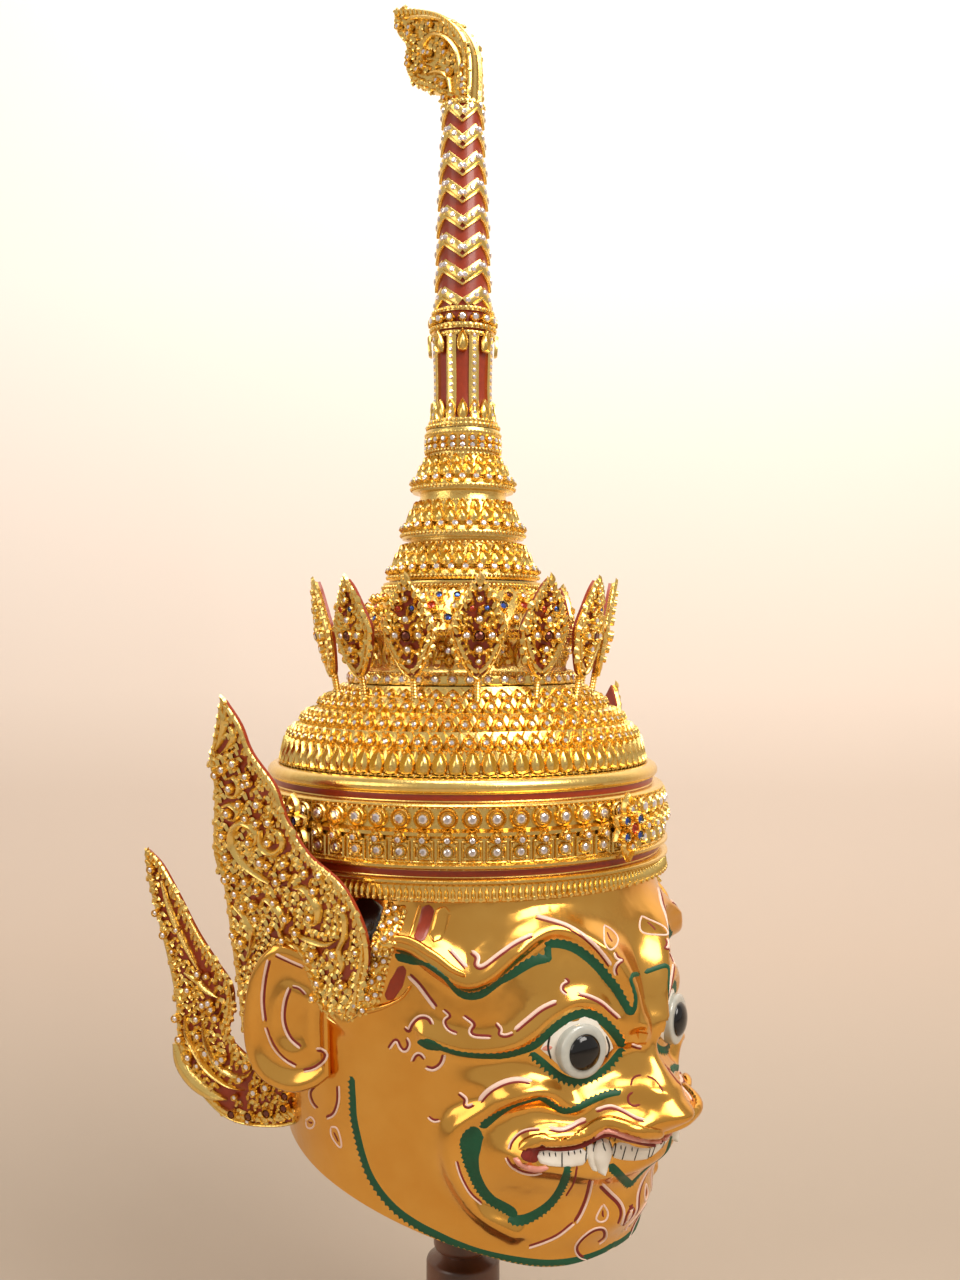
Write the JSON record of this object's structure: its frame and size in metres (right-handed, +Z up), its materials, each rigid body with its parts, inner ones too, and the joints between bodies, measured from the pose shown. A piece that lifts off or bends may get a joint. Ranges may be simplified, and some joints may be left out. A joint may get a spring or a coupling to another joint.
{
  "type": "khon mask on a stand",
  "caption": "Gilt demon mask of the Thai masked dance: a hollow moulded head under a tall tiered crown with a spire, jewelled ear flames and a turned wooden stand.",
  "frame": {"origin": "middle of the flat underside of the stand's round foot, on the axis of the post and the crown", "axes": "+Z up along the post and the spire; the face looks to -Y, so the mask's own right side is at -X"},
  "size_m": [0.3014, 0.265, 0.8082],
  "materials": {
    "gold_leaf": "gold leaf on smooth lacquered paper, burnished to a mirror on the face and ears",
    "gilt_ornament": "bright gilt cast ornament with fine carving",
    "eye_inlay": "polished pale shell ring round a glossy black iris",
    "red_lacquer": "dark red-brown lacquer, glossy",
    "green_paint": "dark green enamel paint, satin",
    "black_lacquer": "black lacquer, glossy",
    "line_paint": "thin painted lines, dark red beside pink-white",
    "teeth": "off-white enamel",
    "rhinestones": "clear faceted glass stones, foil backed, with a few red and blue ones",
    "turned_wood": "turned hardwood, dark brown stain, satin varnish"
  },
  "bodies": {
    "root": {"mask_head": "gold_leaf", "eye_right": "eye_inlay", "eye_left": "eye_inlay", "crown_band": "gilt_ornament", "crown_terrace": "gilt_ornament", "crown_drum": "gilt_ornament", "crown_tiers": "gilt_ornament", "crown_spire": "gilt_ornament", "crown_finial": "gilt_ornament", "ear_flame_right": "gilt_ornament", "ear_flame_left": "gilt_ornament", "rear_flame_right": "gilt_ornament", "rear_flame_left": "gilt_ornament", "standing_flame_01": "gilt_ornament", "standing_flame_02": "gilt_ornament", "standing_flame_03": "gilt_ornament", "standing_flame_04": "gilt_ornament", "standing_flame_05": "gilt_ornament", "standing_flame_06": "gilt_ornament", "standing_flame_07": "gilt_ornament", "standing_flame_08": "gilt_ornament", "standing_flame_09": "gilt_ornament", "standing_flame_10": "gilt_ornament", "standing_flame_11": "gilt_ornament", "standing_flame_12": "gilt_ornament", "standing_flame_13": "gilt_ornament", "standing_flame_14": "gilt_ornament", "band_flower_front": "gilt_ornament", "band_flower_left": "gilt_ornament", "band_flower_back": "gilt_ornament", "band_flower_right": "gilt_ornament", "wooden_stand": "turned_wood"}
  },
  "joints": []
}
